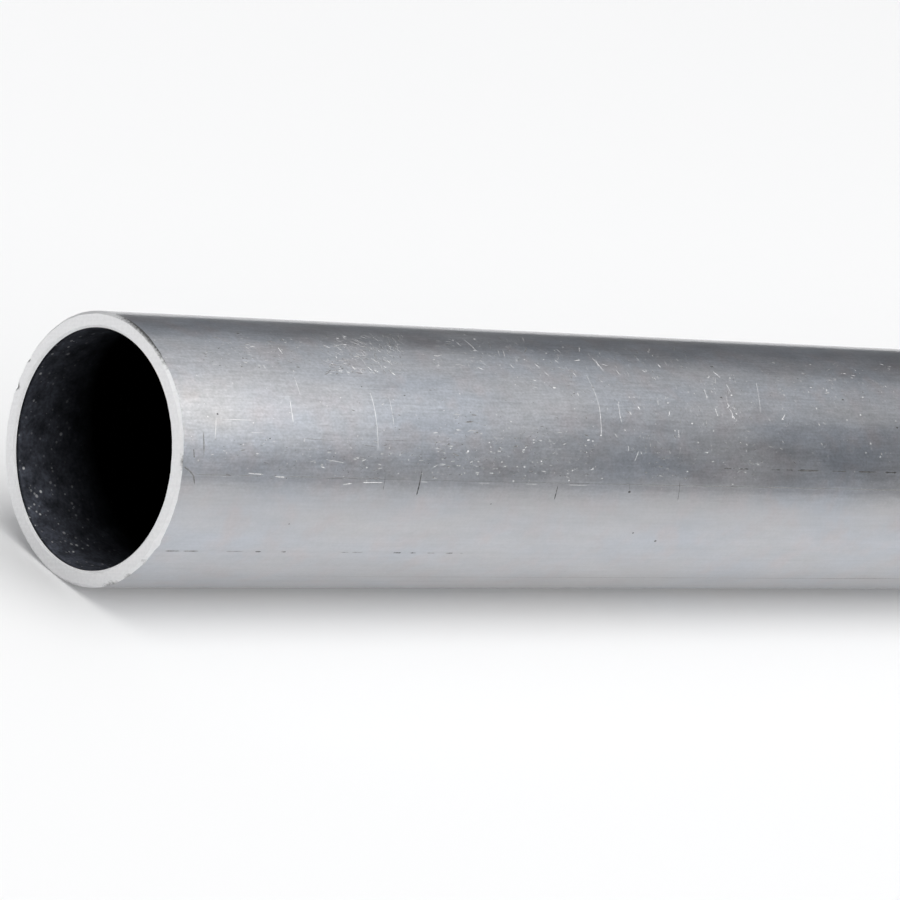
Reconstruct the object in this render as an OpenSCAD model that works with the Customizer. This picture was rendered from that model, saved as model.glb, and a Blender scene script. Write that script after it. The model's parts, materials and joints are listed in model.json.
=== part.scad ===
// Round aluminium tube: one plain extruded length with sawn and deburred ends.
// It lies along X with its centreline on the X axis and its middle at the origin.
// The end at -X is the near end, and the end at +X is the far end.

/* [Section] */
// Outside diameter, in millimetres
outer_d = 25; // [10:0.5:60]
// Wall thickness
wall = 1.5; // [0.8:0.1:4]

/* [Length] */
// Length over both sawn ends
tube_l = 1000; // [100:10:3000]

/* [Deburred edges] */
// Width of the bevel filed round the outside edge of each end
outer_bevel = 0.25; // [0.05:0.05:0.35]
// Width of the bevel scraped round the bore's edge at each end
bore_bevel = 0.2; // [0.05:0.05:0.35]

/* [Hidden] */
$fn = 128;

outer_r = outer_d / 2;
bore_r = outer_r - wall;
half_l = tube_l / 2;

// Half of the wall's lengthwise section as [radius, distance along the tube],
// from the bore out to the outside face; side is -1 at one end and 1 at the other
function end_corners(side) = [
    [bore_r, side * (half_l - bore_bevel)],
    [bore_r + bore_bevel, side * half_l],
    [outer_r - outer_bevel, side * half_l],
    [outer_r, side * (half_l - outer_bevel)],
];

// Reverses a list of points, so that the outline runs on round the wall
function backwards(points) = [for (i = [len(points) - 1 : -1 : 0]) points[i]];

module wall_section() {
    polygon(concat(end_corners(-1), backwards(end_corners(1))));
}

// The tube is turned from its wall section, then laid along X
module tube() {
    color("silver")
        rotate([0, 90, 0])
            rotate_extrude()
                wall_section();
}

tube();
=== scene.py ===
"""Looks of a round aluminium tube in mill finish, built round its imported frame.

The tube lies along X on a pale floor, with its near end at -X. Lengths are in metres, unless a
name ends in _PX: those are pixels of the 900 by 900 photograph, x to the right and y down.
A turn is an angle about the tube's axis, from the front (-Y) over the top.
"""

import json
import math
import random

import bpy
from mathutils import Matrix, Quaternion, Vector, noise
from mathutils.geometry import delaunay_2d_cdt, intersect_point_line


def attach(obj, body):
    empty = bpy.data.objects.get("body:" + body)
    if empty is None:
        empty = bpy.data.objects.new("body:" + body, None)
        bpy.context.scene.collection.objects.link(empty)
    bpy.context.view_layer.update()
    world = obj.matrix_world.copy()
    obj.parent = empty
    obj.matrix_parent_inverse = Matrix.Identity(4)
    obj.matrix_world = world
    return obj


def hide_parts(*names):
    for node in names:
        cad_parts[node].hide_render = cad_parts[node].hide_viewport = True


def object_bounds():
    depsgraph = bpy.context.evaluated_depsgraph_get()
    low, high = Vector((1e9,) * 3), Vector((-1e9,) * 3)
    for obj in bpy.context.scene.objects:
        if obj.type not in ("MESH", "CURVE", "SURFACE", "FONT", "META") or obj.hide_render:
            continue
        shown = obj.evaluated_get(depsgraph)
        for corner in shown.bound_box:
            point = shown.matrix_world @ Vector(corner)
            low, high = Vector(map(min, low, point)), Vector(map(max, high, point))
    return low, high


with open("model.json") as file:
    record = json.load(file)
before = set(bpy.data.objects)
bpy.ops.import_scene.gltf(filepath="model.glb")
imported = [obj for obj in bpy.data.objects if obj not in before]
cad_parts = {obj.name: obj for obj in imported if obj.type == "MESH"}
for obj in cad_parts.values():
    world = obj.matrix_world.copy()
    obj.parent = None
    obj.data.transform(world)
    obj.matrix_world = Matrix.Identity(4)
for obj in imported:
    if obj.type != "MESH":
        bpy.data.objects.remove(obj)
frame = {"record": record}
CAD_LOW, CAD_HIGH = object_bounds()

# The tube's sizes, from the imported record
MM = 0.001
MOUNTS = {mount["name"]: mount for mount in frame["record"]["mounts"]}
OUTER_R = MOUNTS["outside"]["dims"]["r_mm"] * MM
BORE_R = MOUNTS["bore"]["dims"]["r_mm"] * MM
HALF_L = MOUNTS["far_end"]["pos_m"][0]
OUTER_BEVEL = HALF_L - MOUNTS["outside"]["dims"]["length_mm"] * MM / 2
BORE_BEVEL = HALF_L - MOUNTS["bore"]["dims"]["length_mm"] * MM / 2

# How finely the tube is built
SEGMENTS = 360
ROW_STEP = 8 * MM
BORE_STEPS = 20
SEED = 7

# The camera, as the photograph's own outlines give it
FRAME_PX = 900
LENS_PX = 5344
NEAR_END_PX = (91.3, 449)
AXIS_VANISHES_PX = (6064, 598)
NEAR_END_DEPTH = 0.4821
# How far the camera stands above the tube, as a turn about the tube's own axis
LOOK_DOWN = math.radians(26.5)

# The finishes, in the order of the mesh's material slots
OUTSIDE, SAWN, BRIM, BORE, BRIGHT, RUBBED, DARK, FAINT, LIP = range(9)

# Bright scratches on the outside, each a width and a course through pixels
SCRATCHES_PX = [
    (0.8, [(216, 417), (215, 440)]),
    (0.7, [(220, 419), (254, 420.3)]),
    (0.4, [(250, 432.4), (263, 432.4)]),
    (1.4, [(278, 347.5), (282.5, 354)]),
    (0.85, [(289.8, 400), (291.9, 413), (293.4, 423)]),
    (0.55, [(294.2, 376.5), (297, 385), (300.4, 395.5)]),
    (0.65, [(369.5, 391), (373, 402), (376.8, 424), (378, 451)]),
    (0.5, [(389, 397.5), (394, 426)]),
    (0.9, [(463, 339), (476.5, 351)]),
    (0.4, [(585, 373), (593.3, 389), (599.6, 408)]),
    (0.7, [(598.8, 405), (600.6, 418), (601.3, 437)]),
    (0.9, [(592, 358), (604, 371.5)]),
    (0.5, [(618, 402), (619.5, 412)]),
    (0.5, [(619, 411), (621.5, 423)]),
    (0.5, [(628.5, 445.5), (628.5, 451.5)]),
    (0.5, [(639, 450.5), (634.5, 461.5)]),
    (0.6, [(678.5, 429.5), (679, 438)]),
    (0.6, [(704.2, 389), (707.2, 399.5)]),
    (0.8, [(713, 371.5), (720.5, 377.8)]),
    (0.7, [(726.2, 384), (730.8, 392.5)]),
    (0.7, [(715, 408), (716.3, 412), (718, 416.5)]),
    (0.7, [(729.5, 409), (732, 413), (732.8, 418.5)]),
    (0.7, [(729.6, 405.3), (726.8, 408.5)]),
    (0.7, [(756.2, 383), (758, 392.5)]),
    (0.4, [(758, 393), (760.5, 413)]),
    (0.9, [(785, 414.5), (782, 420)]),
    (0.9, [(248, 473.2), (263.5, 474.5)]),
    (1.3, [(275, 476.7), (285, 477.2)]),
    (0.9, [(343, 484.6), (352, 483.3)]),
    (1.1, [(362.5, 482.4), (383, 482.6)]),
    (0.5, [(330, 460), (344.5, 463)]),
]
# Bright pinpricks, each a pixel and how wide it is
DOTS_PX = [
    ((515.4, 384.7), 1.2), ((524.5, 359.5), 1.2), ((543.5, 359.8), 1), ((546, 353.2), 1.2),
    ((554.5, 387.7), 2.6), ((600.8, 435.3), 1.4), ((588.5, 440), 1.9), ((593, 441), 1.2),
    ((450.7, 448.5), 1.3), ((468, 451), 1.6), ((730, 378), 1.4), ((692, 423.4), 1.7),
    ((782.5, 419), 1.8), ((740.8, 442.5), 1.3), ((698, 442.5), 1.3), ((860.5, 415), 1.6),
    ((862.8, 397.3), 1.4), ((865.9, 452.9), 1.2), ((880.4, 457), 1.1), ((732.7, 484.3), 1.5),
    ((895.7, 421), 1.4), ((453, 340), 1.3), ((464.5, 334.6), 1.3), ((474.5, 339), 1.7),
    ((563, 347), 1.2), ((579.5, 348.5), 1.2), ((561, 341.5), 1.1), ((500, 365), 1.2),
    ((668, 403), 1.4), ((511, 421.5), 1.4), ((491, 447), 1.1), ((489.5, 442.5), 1.3),
    ((502, 462), 1.1), ((524.5, 466.8), 1.6), ((541.5, 461.3), 1.5), ((572.5, 470.3), 1.3),
    ((593, 468.2), 1.3), ((602, 478.5), 1.3), ((513.5, 481), 1.5), ((569, 480.5), 1.4),
    ((634, 397), 1.2), ((847, 420), 1.4), ((835, 380), 1.1), ((808.5, 392), 1.1),
    ((687.5, 471.5), 1.3), ((335.5, 453), 1.2), ((358, 458), 1.2), ((389.3, 448), 1.2),
    ((400, 455), 1.1), ((408.5, 460), 1.4), ((296.5, 461), 1.1), ((264, 443.5), 1),
    ((731.3, 395.2), 1.8), ((706.9, 397), 1.6), ((732.8, 416.9), 1.7), ((736.4, 413.9), 1.4),
    ((708.4, 377.6), 1.3),
]
# Dark cuts, each a width and a course through pixels
CUTS_PX = [
    (0.5, [(385.2, 475.5), (383, 491)]),
    (2.1, [(422, 470), (416.5, 495.5)]),
    (1.2, [(557.9, 485.5), (554, 500.5)]),
    (0.3, [(629.7, 484), (629, 493)]),
    (1.1, [(680.2, 479.5), (677.6, 501)]),
]
# Faint cuts, worn and less dirty
FAINT_CUTS_PX = [
    (1.8, [(184.2, 467), (188.8, 470.4), (193.3, 475.8), (194.6, 485)]),
    (1.5, [(193.6, 449), (194.3, 458)]),
    (1.5, [(203.2, 431), (203.8, 457)]),
    (0.5, [(304, 438.5), (338, 441)]),
    (0.6, [(364, 445.2), (377, 446.8)]),
    (0.5, [(384, 440.2), (409, 441)]),
]
# Dark pits, each a pixel and how wide it is
PITS_PX = [
    ((217.6, 414), 1.7), ((270, 438.5), 1.3), ((238, 333.4), 2.6), ((289, 524), 1.5), ((633, 533), 1.8),
    ((655.4, 541), 2.4), ((491, 504), 1.1), ((361.6, 386.8), 1.1), ((404.7, 395.4), 1.6), ((629.3, 492), 2.6),
    ((712, 366.7), 2.8), ((721.2, 397.4), 2), ((842.9, 399.6), 2), ((897.3, 427.7), 2),
]
# Broken lines along the tube: finish, width, a pixel that each goes through, and where its dashes run
DASHED_LINES_PX = [
    (FAINT, 0.8, (300, 552), [(226, 244), (340, 349), (352, 363), (427, 435), (460, 463)]),
    (FAINT, 1.6, (300, 552), [(165, 180), (183, 199), (281, 286), (446, 453)]),
    (DARK, 1.4, (300, 552), [(255, 261), (393, 401), (410, 416)]),
    (DARK, 1.2, (810, 470.6), [(724, 732), (738, 749), (771, 781), (786, 793), (831, 847)]),
    (DARK, 1.9, (810, 470.6), [(797, 822), (858, 876), (885, 897)]),
    (FAINT, 0.7, (290, 476.6), [(194, 232), (238, 262), (286, 318), (322, 384)]),
    (BRIGHT, 0.4, (579, 485.2), [(478, 490), (525, 538), (568, 588), (420, 428)]),
]
# A pixel that each die line goes through on its way along the whole tube
DIE_LINES_PX = [(445, 480.7), (450, 577)]
# Patches of fine marks: middle, half extents, how many are bright, how many are dull, how much longer
# than the shortest they get, and their slant in the middle and at the right, in degrees, down to the right
SCUFFS_PX = [
    ((270, 350), (70, 18), 110, 130, 6, 20, 35),
    ((365, 354), (38, 20), 235, 190, 9, 28, 58),
    ((480, 354), (50, 16), 65, 40, 8, 35, 60),
    ((472, 421), (16, 10), 10, 6, 8, -6, 10),
    ((541, 433), (10, 14), 9, 6, 8, 4, 20),
    ((515, 455), (80, 24), 150, 80, 5, 10, 25),
    ((610, 368), (80, 20), 85, 130, 7, 45, 65),
    ((650, 425), (40, 30), 50, 35, 6, 75, 100),
    ((716, 405), (26, 30), 45, 25, 6, 70, 90),
    ((810, 425), (85, 40), 110, 50, 4, 60, 85),
    ((330, 460), (120, 22), 70, 55, 6, 3, 12),
    ((830, 378), (60, 16), 65, 60, 4, 10, 20),
    ((415, 458), (70, 16), 35, 40, 4, 5, 15),
    ((705, 463), (60, 16), 40, 45, 4, 5, 15),
    ((410, 410), (70, 22), 10, 25, 4, 5, 15),
    ((560, 415), (60, 24), 15, 25, 4, 30, 60),
]
# Nicks in the near end's outer edge: a pixel on it, and how wide the nick is
NICKS_PX = [
    ((31, 363), 5), ((19, 388), 8), ((152, 540), 7), ((140, 558), 5), ((125, 569), 6), ((110, 581), 9),
]
# Stretches of that edge which are darkened, partly as painted shade along the bevel and partly as dirt in its
# nicks: how much, and from which pixel to which as the turn grows
EDGE_DIRT_AND_SHADE_PX = [
    (1.2, (171, 374), (110, 311)),
    (1.7, (33, 359), (29.5, 367)),
    (2.2, (21, 382), (17.5, 394)),
    (0.6, (26, 372), (6, 430)),
    (0.8, (98, 586), (118, 575)),
    (0.8, (120, 573), (129, 567)),
    (0.7, (137, 560), (143, 554)),
    (0.8, (183, 474), (183, 450)),
]

# Where the tube leaves the photograph, just above its lower edge
LEAVES_PX = (900, 578)

# How wide other marks are, how much wider the dull fine ones are, and how deep a mark is for its width
DIE_LINE_W = 0.11 * MM
TICK_W = 0.06 * MM
DULL_WIDER = 1.35
CUT_SLOPE = 0.15
# Of the bright fine marks, one in so many is fresh, and the others are only rubbed
FRESH_ONE_IN = 6
# How many points the course of a mark has
SCRATCH_STEPS = 12
DASH_STEPS = 7
DOT_STEPS = 5
TICK_STEPS = 4
STRAY_STEPS = 6
DIE_LINE_STEPS = 300
# Marks that the photograph doesn't show: how many, and how far they and the die lines stay from the ends
STRAY_MARKS = 420
STRAY_MARGIN = 6 * MM
DIE_LINE_MARGIN = 4 * MM
# How far from its outer edge a sawn face is darkened by painted shade and dirt, from which level of that
# darkening the edge is chipped, and how much further the darkening reaches for each level above that
EDGE_MARGIN = 0.06 * MM
CHIPPED = 1.2
CHIP_REACH = 0.5 * MM


def sight(pixel):
    """The line of sight through a pixel, in the camera's own axes, one metre deep."""
    half = FRAME_PX / 2
    return Vector(((pixel[0] - half) / LENS_PX, (half - pixel[1]) / LENS_PX, -1))


def place_camera():
    """Makes the camera and returns where its eye is and how its axes lie in the tube's frame."""
    along = sight(AXIS_VANISHES_PX).normalized()
    up = Vector((0, 1, 0))
    up = (up - along * up.dot(along)).normalized()
    up.rotate(Quaternion(along, LOOK_DOWN))
    axes = Matrix((along, up.cross(along), up))
    eye = Vector((-HALF_L, 0, 0)) - axes @ (sight(NEAR_END_PX) * NEAR_END_DEPTH)
    camera = bpy.data.objects.new("camera", bpy.data.cameras.new("camera"))
    bpy.context.scene.collection.objects.link(camera)
    camera.data.sensor_width = 36
    camera.data.lens = camera.data.sensor_width * LENS_PX / FRAME_PX
    camera.data.clip_start = 0.01
    camera.data.clip_end = 100
    camera.matrix_world = Matrix.Translation(eye) @ axes.to_4x4()
    bpy.context.scene.camera = camera
    return eye, axes


EYE, CAMERA_AXES = place_camera()


def unrolled(pixel):
    """Where a pixel's line of sight meets the outside: along the tube, and round it from the front."""
    way = CAMERA_AXES @ sight(pixel)
    a = way.y ** 2 + way.z ** 2
    b = EYE.y * way.y + EYE.z * way.z
    c = EYE.y ** 2 + EYE.z ** 2 - OUTER_R ** 2
    meets = EYE + way * (-b - math.sqrt(b * b - a * c)) / a
    return Vector((meets.x, OUTER_R * math.atan2(meets.z, -meets.y)))


def turn_on_near_end(pixel):
    """The turn at which a pixel's line of sight meets the near end's plane."""
    way = CAMERA_AXES @ sight(pixel)
    meets = EYE + way * ((-HALF_L - EYE.x) / way.x)
    return math.atan2(meets.z, -meets.y)


def pixel_size():
    """What a pixel covers at the near end."""
    return NEAR_END_DEPTH / LENS_PX


def on_line(through, x):
    """The pixel at that x on the line along the tube through a pixel."""
    rise = (AXIS_VANISHES_PX[1] - through[1]) / (AXIS_VANISHES_PX[0] - through[0])
    return x, through[1] + (x - through[0]) * rise


def on_tube(x, radius, turn):
    return Vector((x, -radius * math.cos(turn), radius * math.sin(turn)))


def turn_at(step):
    return math.tau * step / SEGMENTS - math.pi


def course_through(stops, count):
    """A smooth course of that many points through the stops."""
    padded = [2 * stops[0] - stops[1], *stops, 2 * stops[-1] - stops[-2]]
    course = []
    for i in range(count):
        along = i / (count - 1) * (len(stops) - 1)
        leg = min(int(along), len(stops) - 2)
        a, b, c, d = padded[leg:leg + 4]
        t = along - leg
        course.append((2 * b + (c - a) * t + (2 * a - 5 * b + 4 * c - d) * t ** 2
                       + (3 * b - a - 3 * c + d) * t ** 3) / 2)
    return course


class Mark:
    """A shallow cut with pointed ends: its course on the unrolled surface, its width and its finish."""

    def __init__(self, stops, count, width, finish, draw):
        self.course = course_through(stops, count)
        self.finish = finish
        self.depth = width * CUT_SLOPE
        self.halves = []
        for i in range(count):
            share = i / (count - 1)
            self.halves.append(width / 2 * min(1, 9 * share * (1 - share)) * draw.uniform(0.5, 1.3))

    def sides(self):
        """The points along the right and the left side, without the two ends."""
        right, left = [], []
        for i in range(1, len(self.course) - 1):
            ahead = (self.course[i + 1] - self.course[i - 1]).normalized()
            across = Vector((-ahead.y, ahead.x)) * self.halves[i]
            right.append(self.course[i] - across)
            left.append(self.course[i] + across)
        return right, left

    def depth_at(self, point):
        """How deep the cut is at a point of the unrolled surface."""
        share = 0
        for i in range(len(self.course) - 1):
            a, b = self.course[i], self.course[i + 1]
            _, t = intersect_point_line(point, a, b)
            t = min(max(t, 0), 1)
            half = self.halves[i] * (1 - t) + self.halves[i + 1] * t
            if half > 0:
                share = max(share, 1 - (point - a.lerp(b, t)).length / half)
        return self.depth * share


def photo_marks(draw):
    """The marks that the photograph shows."""
    marks = []
    for cuts, finish in ((SCRATCHES_PX, BRIGHT), (CUTS_PX, DARK), (FAINT_CUTS_PX, FAINT)):
        for width, path in cuts:
            stops = [unrolled(pixel) for pixel in path]
            marks.append(Mark(stops, SCRATCH_STEPS, width * pixel_size(), finish, draw))
    for finish, width, through, dashes in DASHED_LINES_PX:
        for start, end in dashes:
            stops = [unrolled(on_line(through, x)) for x in (start, end)]
            marks.append(Mark(stops, DASH_STEPS, width * pixel_size(), finish, draw))
    for spots, finish in ((DOTS_PX, BRIGHT), (PITS_PX, DARK)):
        for (x, y), width in spots:
            stops = [unrolled((x - 0.6 * width, y)), unrolled((x + 0.6 * width, y))]
            marks.append(Mark(stops, DOT_STEPS, width * pixel_size(), finish, draw))
    for (x, y), (half_w, half_h), bright, dull, longer, slant, slant_right in SCUFFS_PX:
        for i in range(bright + dull):
            side = draw.uniform(-1, 1)
            middle = Vector((x + side * half_w, y + draw.uniform(-half_h, half_h)))
            angle = math.radians(draw.gauss(slant + (slant_right - slant) * side, 18))
            reach = Vector((math.cos(angle), math.sin(angle))) * (0.5 + longer / 2 * draw.random() ** 2)
            stops = [unrolled(middle - reach), unrolled(middle + reach)]
            width = TICK_W * (0.4 + 1.4 * draw.random() ** 2)
            if i < bright:
                finish = RUBBED if i % FRESH_ONE_IN else BRIGHT
            else:
                finish = FAINT
                width *= DULL_WIDER
            marks.append(Mark(stops, TICK_STEPS, width, finish, draw))
    return marks


def die_lines(draw):
    """Thin lines along the whole tube, which the die has left."""
    reach = HALF_L - DIE_LINE_MARGIN
    lines = []
    for pixel in DIE_LINES_PX:
        round_at = unrolled(pixel).y
        stops = [Vector((-reach, round_at)), Vector((reach, round_at))]
        lines.append(Mark(stops, DIE_LINE_STEPS, DIE_LINE_W, FAINT, draw))
    return lines


def stray_marks(draw):
    """Marks on the rest of the tube, of the kinds that the photograph shows."""
    reach_x = HALF_L - STRAY_MARGIN
    in_view = unrolled(LEAVES_PX).x
    marks = []
    while len(marks) < STRAY_MARKS:
        x = draw.uniform(-reach_x, reach_x)
        turn = draw.uniform(-math.pi + 0.3, math.pi - 0.3)
        angle = draw.gauss(math.pi / 2, 0.4) if draw.random() < 0.7 else draw.gauss(0, 0.05)
        reach = Vector((math.cos(angle), math.sin(angle))) * draw.uniform(0.2, 1.6) * MM
        seen = x < in_view and -math.pi / 2 < turn - LOOK_DOWN < math.pi / 2
        if not seen:
            middle = Vector((x, OUTER_R * turn))
            finish = BRIGHT if draw.random() < 0.75 else DARK
            width = TICK_W * draw.uniform(0.8, 1.8)
            marks.append(Mark([middle - reach, middle + reach], STRAY_STEPS, width, finish, draw))
    return marks


class Skin:
    """A mesh in the making, with a normal of its own at each face's corner."""

    def __init__(self):
        self.numbers = {}
        self.points = []
        self.faces = []
        self.normals = []
        self.dirt_and_shade = []
        self.finishes = []

    def number(self, point):
        key = tuple(round(c * 1e8) for c in point)
        if key not in self.numbers:
            self.numbers[key] = len(self.points)
            self.points.append(point)
        return self.numbers[key]

    def face(self, points, normals, dirt_and_shade, finish):
        """Adds a face, unless two of its corners fall together."""
        corners = [self.number(point) for point in points]
        if len(set(corners)) == len(corners):
            self.faces.append(corners)
            self.normals.extend(normals)
            self.dirt_and_shade.extend(dirt_and_shade)
            self.finishes.append(finish)

    def made(self, name, materials):
        mesh = bpy.data.meshes.new(name)
        mesh.from_pydata(self.points, [], self.faces)
        for material in materials:
            mesh.materials.append(material)
        mesh.polygons.foreach_set("material_index", self.finishes)
        mesh.polygons.foreach_set("use_smooth", [True] * len(self.faces))
        mesh.attributes.new("dirt_and_shade", "FLOAT", "CORNER").data.foreach_set("value", self.dirt_and_shade)
        mesh.normals_split_custom_set(self.normals)
        piece = bpy.data.objects.new(name, mesh)
        bpy.context.scene.collection.objects.link(piece)
        return piece


# The nicks: the turn of each, counted from nought to a full turn, and how far it spreads
NICKS = [(turn_on_near_end(pixel) % math.tau, width * pixel_size() / OUTER_R) for pixel, width in NICKS_PX]


def bevel_width(turn, end, width):
    """How wide a bevel is at that turn: uneven, as a file leaves it, and wider at a nick."""
    place = Vector((math.cos(turn), math.sin(turn), end + width / MM))
    worn = width * (1 + 0.35 * noise.noise(place * 2.5) + 0.25 * noise.noise(place * 16))
    if end < 0 and width == OUTER_BEVEL:
        for at, spread in NICKS:
            worn += 0.7 * width * max(0, 1 - abs(turn - at) / spread)
    return worn


def build_outside(skin, marks):
    """The outside as triangles on the unrolled surface, with the marks cut into it."""
    spots = []

    def spot(x, turn):
        spots.append((x, turn))
        return len(spots) - 1

    def spot_on(point):
        return spot(point.x, point.y / OUTER_R)

    turns = [turn_at(step) for step in range(SEGMENTS + 1)]
    inner_rows = round(2 * HALF_L / ROW_STEP)
    rows = [[spot(bevel_width(turn % math.tau, -HALF_L, OUTER_BEVEL) - HALF_L, turn) for turn in turns]]
    for i in range(1, inner_rows):
        rows.append([spot(2 * HALF_L * i / inner_rows - HALF_L, turn) for turn in turns])
    rows.append([spot(HALF_L - bevel_width(turn % math.tau, HALF_L, OUTER_BEVEL), turn) for turn in turns])
    border = [row[0] for row in rows] + rows[-1][1:] + [row[-1] for row in rows[-2::-1]] + rows[0][-2:0:-1]
    loops = [border]
    middles = []
    for mark in marks:
        right, left = mark.sides()
        line = [spot_on(point) for point in mark.course]
        loops.append([line[0], *map(spot_on, right), line[-1], *map(spot_on, reversed(left))])
        middles.extend(zip(line, line[1:]))

    # In cells of the net, so that a triangle stays within few cells
    cells = [Vector(((x + HALF_L) / ROW_STEP, (turn + math.pi) / math.tau * SEGMENTS)) for x, turn in spots]
    found, _, faces, sources, _, owners = delaunay_2d_cdt(cells, middles, loops, 1, 1e-6)
    places = []
    for cell, source in zip(found, sources):
        if source:
            places.append(spots[source[0]])
        else:
            places.append((cell.x * ROW_STEP - HALF_L, cell.y / SEGMENTS * math.tau - math.pi))
    depths = [0] * len(places)
    for face, owner in zip(faces, owners):
        for loop in owner:
            if loop:
                for i in face:
                    x, turn = places[i]
                    depths[i] = max(depths[i], marks[loop - 1].depth_at(Vector((x, OUTER_R * turn))))
    points = [on_tube(x, OUTER_R - depth, turn) for (x, turn), depth in zip(places, depths)]
    for face, owner in zip(faces, owners):
        corners = [points[i] for i in face]
        cut_by = max(owner)
        if cut_by:
            normal = (corners[1] - corners[0]).cross(corners[2] - corners[0]).normalized()
            skin.face(corners, [normal] * 3, [0] * 3, marks[cut_by - 1].finish)
        else:
            skin.face(corners, [on_tube(0, 1, places[i][1]) for i in face], [0] * 3, OUTSIDE)


EDGE_DIRT_AND_SHADE_TURNS = [(level, *map(turn_on_near_end, ends)) for level, *ends in EDGE_DIRT_AND_SHADE_PX]


def clean(turn):
    return 0


def near_edge_dirt_and_shade(turn):
    """How dark the near end's outer edge is at that turn: painted shade along the bevel, and dirt in its
    nicks.
    """
    dirt_and_shade = 0
    for level, start, end in EDGE_DIRT_AND_SHADE_TURNS:
        share = (turn - start) % math.tau / ((end - start) % math.tau)
        if share < 1:
            dirt_and_shade = max(dirt_and_shade, level * math.sqrt(math.sin(math.pi * share)))
    return dirt_and_shade


def sweep(skin, section, normal, finish, dirt_and_shade=(clean, clean)):
    """Sweeps a stretch of the wall's section, two functions of the turn to x and radius, round the tube."""
    for step in range(SEGMENTS):
        points, normals, dirt_and_shade_levels = [], [], []
        for end, at in ((0, step), (0, step + 1), (1, step + 1), (1, step)):
            turn = turn_at(at % SEGMENTS)
            points.append(on_tube(*section[end](turn), turn))
            normals.append(on_tube(normal[0], normal[1], turn).normalized())
            dirt_and_shade_levels.append(dirt_and_shade[end](turn))
        skin.face(points, normals, dirt_and_shade_levels, finish)


def build_end(skin, end, edge_dirt_and_shade):
    """The sawn face at one end, with its worn bevels."""
    side = math.copysign(1, end)
    order = slice(None, None, int(side))

    def outer(turn):
        return bevel_width(turn % math.tau, end, OUTER_BEVEL)

    def inner(turn):
        return bevel_width(turn % math.tau, end, BORE_BEVEL)

    def margin(turn):
        return EDGE_MARGIN + CHIP_REACH * max(0, edge_dirt_and_shade(turn) - CHIPPED)

    section = [
        lambda turn: (end - side * BORE_BEVEL, BORE_R),
        lambda turn: (end, BORE_R + inner(turn)),
        lambda turn: (end, OUTER_R - outer(turn) - margin(turn)),
        lambda turn: (end, OUTER_R - outer(turn)),
        lambda turn: (end - side * outer(turn), OUTER_R),
    ]
    # The outer bevel and the face's outer margin take the edge's darkening: painted shade along the bevel,
    # and dirt in the nicks
    dirt_and_shade = [clean, clean, clean, lambda turn: 0.5 * edge_dirt_and_shade(turn), edge_dirt_and_shade]
    for i, (outward, finish) in enumerate(((-0.6, LIP), (0, SAWN), (0, SAWN), (1, BRIM))):
        sweep(skin, section[i:i + 2][order], (side, outward), finish, dirt_and_shade[i:i + 2][order])


def build_bore(skin):
    length = 2 * (HALF_L - BORE_BEVEL)
    for i in range(BORE_STEPS):
        start = length * i / BORE_STEPS - length / 2
        end = length * (i + 1) / BORE_STEPS - length / 2
        sweep(skin, (lambda turn: (start, BORE_R), lambda turn: (end, BORE_R)), (0, -1), BORE)


def build_tube():
    draw = random.Random(SEED)
    skin = Skin()
    build_outside(skin, die_lines(draw) + photo_marks(draw) + stray_marks(draw))
    build_end(skin, -HALF_L, near_edge_dirt_and_shade)
    build_end(skin, HALF_L, clean)
    build_bore(skin)
    return skin


def feed(tree, node, inputs):
    """Sets a node's inputs, each to a number, a colour or another node's output."""
    for name, value in inputs.items():
        if isinstance(value, bpy.types.NodeSocket):
            tree.links.new(value, node.inputs[name])
        else:
            node.inputs[name].default_value = value


def add(tree, kind, inputs, **settings):
    node = tree.nodes.new("ShaderNode" + kind)
    for name, value in settings.items():
        setattr(node, name, value)
    feed(tree, node, inputs)
    return node


def grain(tree, fineness, detail=2):
    """Noise in the tube's own space, with so many grains to the metre along each axis."""
    place = add(tree, "TexCoord", {}).outputs["Object"]
    scaled = add(tree, "VectorMath", {0: place, 1: fineness}, operation="MULTIPLY")
    return add(tree, "TexNoise", {"Vector": scaled.outputs[0], "Scale": 1, "Detail": detail}).outputs[0]


def specks(tree, fineness, size):
    """One on small round specks of all sizes up to that share of a cell, and nought between them."""
    place = add(tree, "TexCoord", {}).outputs["Object"]
    cells = add(tree, "TexVoronoi", {"Vector": place, "Scale": fineness, "Randomness": 1})
    drawn = add(tree, "SeparateColor", {0: cells.outputs["Color"]}).outputs[0]
    reach = add(tree, "Math", {0: drawn, 1: drawn}, operation="MULTIPLY").outputs[0]
    reach = add(tree, "Math", {0: cells.outputs["Distance"], 1: reach}, operation="DIVIDE").outputs[0]
    return ranged(tree, reach, size, size * 0.6)


def ranged(tree, value, low, high, to_low=0, to_high=1):
    inputs = {"Value": value, "From Min": low, "From Max": high, "To Min": to_low, "To Max": to_high}
    return add(tree, "MapRange", inputs).outputs[0]


def mixed(tree, share, a, b, way="MIX"):
    return add(tree, "Mix", {0: share, 6: a, 7: b}, data_type="RGBA", blend_type=way).outputs[2]


def times(tree, colour, factor, share=1):
    return mixed(tree, share, colour, factor, "MULTIPLY")


def grey(level):
    return (level, level, level, 1)


def finish(name, **constants):
    """A material, its tree and its shader, with the constants on the shader's own sockets."""
    material = bpy.data.materials.new(name)
    material.use_nodes = True
    tree = material.node_tree
    shader = tree.nodes["Principled BSDF"]
    feed(tree, shader, {name.replace("_", " "): value for name, value in constants.items()})
    return material, tree, shader


def roughen(tree, shader, height, depth):
    """Gives the shader a fine relief of that depth."""
    bump = add(tree, "Bump", {"Height": height, "Strength": 1, "Distance": depth})
    feed(tree, shader, {"Normal": bump.outputs[0]})


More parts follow.
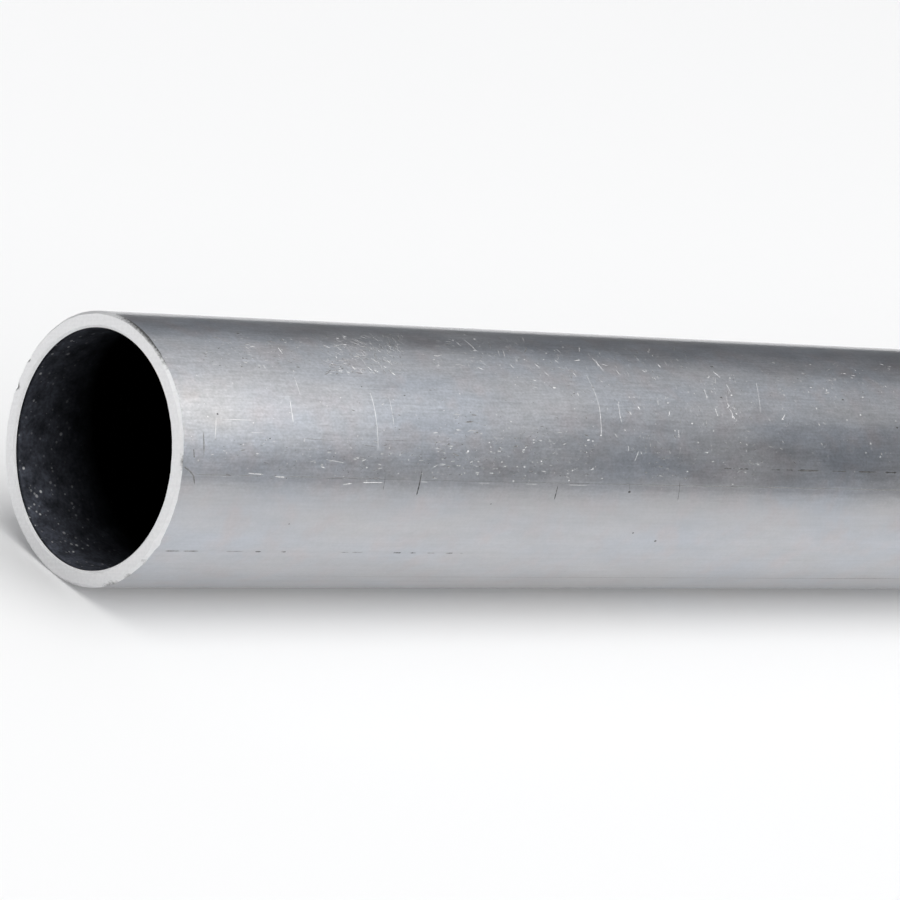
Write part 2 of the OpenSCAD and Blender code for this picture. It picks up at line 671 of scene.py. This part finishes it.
# The metal's colours: the skin between two of them, its stains, the tint of its scuffed top, and a warm
# painted highlight tint in a band by each end, where the highlight falls; then the sawn face between two, and
# the bore at its mouths
MILL_BLUE = (0.466, 0.486, 0.523, 1)
MILL_PALE = (0.496, 0.493, 0.502, 1)
STAIN = (0.497, 0.474, 0.485, 1)
TOP_TINT = (0.98, 1, 1.026, 1)
PAINTED_HIGHLIGHT_TINT = (1.05, 1, 0.94, 1)
SAWN_DARK = (0.835, 0.835, 0.84, 1)
SAWN_LIGHT = (0.865, 0.865, 0.87, 1)
BORE_MOUTH = (0.2, 0.215, 0.26, 1)
# How deep the relief of the drawn lines and of the saw is
DRAWN_DEPTH = 2e-6
SAWN_DEPTH = 1e-6


def mill_finish():
    """Drawn aluminium: rougher round the tube than along it, lined and stained, scuffed on top, and with a
    painted warm highlight by each end.
    """
    material, tree, shader = finish(
        "mill_finish", Metallic=1, Anisotropic=0.76, Coat_Weight=0.75, Coat_Roughness=0.12, Coat_IOR=1.5)
    tangent = add(tree, "Tangent", {}, direction_type="RADIAL", axis="X")
    lines = grain(tree, (6, 2600, 2600), 4)
    streaks = grain(tree, (350, 4200, 4200), 3)
    mottle = grain(tree, (3200, 4800, 4800), 2)
    blotches = grain(tree, (1100, 1500, 1500), 3)
    clouds = grain(tree, (62, 170, 170), 3)
    patches = grain(tree, (160, 420, 420), 4)
    place = add(tree, "SeparateXYZ", {0: add(tree, "TexCoord", {}).outputs["Object"]})
    height = place.outputs["Z"]
    along = add(tree, "Math", {0: place.outputs["X"]}, operation="ABSOLUTE").outputs[0]
    scuffed = ranged(tree, height, 0.1 * OUTER_R, 0.35 * OUTER_R, 0.25, 1)
    colour = mixed(tree, ranged(tree, clouds, 0.35, 0.65), MILL_BLUE, MILL_PALE)
    stained = ranged(tree, grain(tree, (330, 380, 380), 2), 0.48, 0.72, 0, 0.8)
    colour = mixed(tree, stained, colour, STAIN)
    colour = times(tree, colour, ranged(tree, patches, 0.3, 0.7, 0.95, 1.05))
    colour = times(tree, colour, ranged(tree, lines, 0.3, 0.7, 0.975, 1.025))
    colour = times(tree, colour, ranged(tree, mottle, 0.3, 0.7, 0.9, 1.1), scuffed)
    colour = times(tree, colour, ranged(tree, streaks, 0.3, 0.7, 0.92, 1.08), scuffed)
    colour = times(tree, colour, ranged(tree, blotches, 0.3, 0.7, 0.94, 1.06), scuffed)
    colour = times(tree, colour, TOP_TINT, scuffed)
    # Painted highlight: a warm tint on a band of the upper side near each end, where the highlight falls
    painted_highlight = ranged(tree, along, HALF_L - 11 * MM, HALF_L - 5 * MM)
    painted_highlight = times(tree, painted_highlight, ranged(tree, height, 0.46 * OUTER_R, 0.6 * OUTER_R))
    painted_highlight = times(tree, painted_highlight, ranged(tree, height, 0.92 * OUTER_R, 0.76 * OUTER_R))
    colour = times(tree, colour, PAINTED_HIGHLIGHT_TINT, painted_highlight)
    pricks = times(tree, specks(tree, 1500, 0.17), ranged(tree, scuffed, 0.4, 1))
    colour = mixed(tree, pricks, colour, grey(0.72))
    rough = ranged(tree, patches, 0.25, 0.75, 0.30, 0.37)
    feed(tree, shader, {"Base Color": colour, "Roughness": rough, "Tangent": tangent.outputs[0]})
    roughen(tree, shader, lines, DRAWN_DEPTH)
    return material


def sawn(name, metallic):
    """Bright sawn metal, with straight lines across it as the blade went, and dirt and painted shade where
    they are given.
    """
    material, tree, shader = finish(name, Metallic=metallic)
    lean = math.sin(LOOK_DOWN), math.cos(LOOK_DOWN)
    place = add(tree, "TexCoord", {}).outputs["Object"]
    across = add(tree, "VectorMath", {0: place, 1: (0, *lean)}, operation="DOT_PRODUCT").outputs["Value"]
    saw = add(tree, "TexNoise", {"W": across, "Scale": 3500, "Detail": 3}, noise_dimensions="1D").outputs[0]
    mottle = grain(tree, (3000, 3000, 3000), 3)
    colour = mixed(tree, ranged(tree, saw, 0.3, 0.7), SAWN_DARK, SAWN_LIGHT)
    colour = times(tree, colour, ranged(tree, mottle, 0.25, 0.75, 0.95, 1.04))
    # Darkening from the mesh's corners: painted shade along the near end's bevel, and dirt in its nicks
    dirt_and_shade = add(tree, "Attribute", {}, attribute_name="dirt_and_shade").outputs["Fac"]
    crumbs = ranged(tree, grain(tree, (4500, 4500, 4500), 3), 0.25, 0.75, -0.2, 0.2)
    dirt_and_shade = add(tree, "Math", {0: dirt_and_shade, 1: crumbs}, operation="ADD").outputs[0]
    colour = mixed(tree, ranged(tree, dirt_and_shade, 0.4, 1), colour, grey(0.1))
    feed(tree, shader, {"Base Color": colour, "Roughness": ranged(tree, mottle, 0.2, 0.8, 0.4, 0.5)})
    roughen(tree, shader, saw, SAWN_DEPTH)
    return material


def dull_bore():
    """The inside: dull and bluish at the mouths, painted darker further in and in a thin black band just
    inside each mouth as shade, with pale dust.
    """
    material, tree, shader = finish("dull_bore")
    place = add(tree, "SeparateXYZ", {0: add(tree, "TexCoord", {}).outputs["Object"]})
    along = add(tree, "Math", {0: place.outputs["X"]}, operation="ABSOLUTE").outputs[0]
    clouds = grain(tree, (150, 300, 300), 3)
    mottle = grain(tree, (3000, 3000, 3000), 3)
    smears = grain(tree, (700, 700, 700), 4)
    # Painted shade: the bore darkens from each mouth inwards, sooner at the top than at the bottom
    terms = {0: place.outputs["Z"], 1: -0.25, 2: along}
    deep = add(tree, "Math", terms, operation="MULTIPLY_ADD").outputs[0]
    painted_depth_shade = ranged(tree, deep, HALF_L + 0.25 * BORE_R, HALF_L - 8.5 * MM)
    colour = mixed(tree, painted_depth_shade, BORE_MOUTH, grey(0.001))
    colour = times(tree, colour, ranged(tree, mottle, 0.3, 0.7, 0.7, 1.3))
    colour = times(tree, colour, ranged(tree, smears, 0.3, 0.7, 0.55, 1.45))
    # Painted shadow: a black band just inside each mouth, at the lip
    colour = mixed(tree, ranged(tree, along, HALF_L - 0.6 * MM, HALF_L - 0.2 * MM), colour, grey(0.01))
    settled = ranged(tree, deep, HALF_L - 6 * MM, HALF_L + BORE_R * 0.1, 0.03, 1.3)
    dust = times(tree, specks(tree, 2000, 0.4), ranged(tree, clouds, 0.35, 0.55))
    dust = mixed(tree, 1, dust, specks(tree, 1100, 0.25), "ADD")
    dust = times(tree, dust, settled)
    dust = times(tree, dust, ranged(tree, smears, 0.35, 0.65, 0.2, 1.2))
    colour = mixed(tree, dust, colour, grey(0.75))
    rough = ranged(tree, clouds, 0.3, 0.7, 0.6, 0.75)
    bare = ranged(tree, dust, 0, 1, 1, 0)
    feed(tree, shader, {"Base Color": colour, "Roughness": rough, "Metallic": bare})
    return material


def mottled(name, metallic, fineness, greys, roughness):
    """A finish that wanders between two greys and two roughnesses, so finely."""
    material, tree, shader = finish(name, Metallic=metallic)
    mottle = grain(tree, (fineness, fineness, fineness), 2)
    colour = mixed(tree, ranged(tree, mottle, 0.3, 0.7), grey(greys[0]), grey(greys[1]))
    rough = ranged(tree, mottle, 0.3, 0.7, *roughness)
    feed(tree, shader, {"Base Color": colour, "Roughness": rough})
    return material


def fresh_scratch():
    return mottled("fresh_scratch", 0.7, 4000, (0.64, 0.84), (0.45, 0.6))


def rubbed_spot():
    """A light touch, which has only polished the skin."""
    return mottled("rubbed_spot", 0.85, 4000, (0.52, 0.7), (0.4, 0.55))


def dirty_cut():
    return mottled("dirty_cut", 0.5, 4000, (0.05, 0.2), (0.55, 0.75))


def worn_cut():
    return mottled("worn_cut", 0.9, 4000, (0.2, 0.38), (0.5, 0.65))


def broken_lip():
    """Freshly broken metal, which scatters the light."""
    return mottled("broken_lip", 0, 3000, (0.9, 0.98), (0.5, 0.65))


FINISHES = [
    mill_finish(),
    sawn("sawn_end", 1),
    sawn("filed_brim", 0.4),
    dull_bore(),
    fresh_scratch(),
    rubbed_spot(),
    dirty_cut(),
    worn_cut(),
    broken_lip(),
]
tube = build_tube().made("mill_tube", FINISHES)
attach(tube, "root")
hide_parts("tube")

# The stage: a wide pale floor, a key softbox in front of the near end, one overhead, and a dim room
FLOOR_HALF = 30
FLOOR_COLOUR = (0.735, 0.735, 0.735, 1)
FLOOR_LIFT = 0.16
ROOM_COLOUR = (0.104, 0.107, 0.114, 1)
ROOM_END_COLOUR = (0.7, 0.7, 0.71, 1)
KEY_PLACE = Vector((-0.41, -0.93, 1.5))
KEY_SIZE = (2.92, 3.14)
KEY_LEVEL = 1.8
TOP_PLACE = Vector((0, 0.57, 2.0))
TOP_SIZE = (4.1, 3.05)
TOP_LEVEL = 0.555


def seen_directly(tree):
    """One where the camera, a gloss or a clear body looks at the surface, and nought for other light."""
    path = add(tree, "LightPath", {})
    total = path.outputs["Is Camera Ray"]
    for kind in ("Is Glossy Ray", "Is Transmission Ray"):
        total = add(tree, "Math", {0: total, 1: path.outputs[kind]}, operation="MAXIMUM").outputs[0]
    return total


def softbox(name, place, aim, size, level):
    """An even lamp of that size, which shows at that level in a mirror."""
    lamp = bpy.data.lights.new(name, "AREA")
    lamp.shape = "RECTANGLE"
    lamp.size, lamp.size_y = size
    lamp.energy = level * math.pi * lamp.size * lamp.size_y
    box = bpy.data.objects.new(name, lamp)
    box.location = place
    box.rotation_euler = (aim - place).to_track_quat("-Z", "Y").to_euler()
    box.visible_camera = False
    bpy.context.scene.collection.objects.link(box)


def pale_floor():
    material = bpy.data.materials.new("pale_floor")
    material.use_nodes = True
    tree = material.node_tree
    tree.nodes.clear()
    paint = add(tree, "BsdfDiffuse", {"Color": FLOOR_COLOUR})
    level = add(tree, "Math", {0: seen_directly(tree), 1: FLOOR_LIFT}, operation="MULTIPLY")
    glow = add(tree, "Emission", {"Strength": level.outputs[0]})
    both = add(tree, "AddShader", {0: paint.outputs[0], 1: glow.outputs[0]})
    add(tree, "OutputMaterial", {"Surface": both.outputs[0]})
    return material


def build_stage():
    mesh = bpy.data.meshes.new("floor")
    corners = [(FLOOR_HALF * x, FLOOR_HALF * y, 0) for x, y in ((-1, -1), (1, -1), (1, 1), (-1, 1))]
    mesh.from_pydata(corners, [], [(0, 1, 2, 3)])
    mesh.materials.append(pale_floor())
    floor = bpy.data.objects.new("floor", mesh)
    floor.location.z = CAD_LOW.z
    bpy.context.scene.collection.objects.link(floor)
    softbox("key", KEY_PLACE, Vector((-HALF_L, 0, 0)), KEY_SIZE, KEY_LEVEL)
    softbox("top", TOP_PLACE, Vector((TOP_PLACE.x, TOP_PLACE.y, 0)), TOP_SIZE, TOP_LEVEL)
    world = bpy.data.worlds.new("room")
    bpy.context.scene.world = world
    world.use_nodes = True
    tree = world.node_tree
    way = add(tree, "SeparateXYZ", {0: add(tree, "TexCoord", {}).outputs["Generated"]}).outputs["X"]
    endwards = ranged(tree, add(tree, "Math", {0: way}, operation="ABSOLUTE").outputs[0], 0.8, 1)
    feed(tree, tree.nodes["Background"], {"Color": mixed(tree, endwards, ROOM_COLOUR, ROOM_END_COLOUR)})


build_stage()
bpy.context.scene.view_settings.view_transform = "Standard"
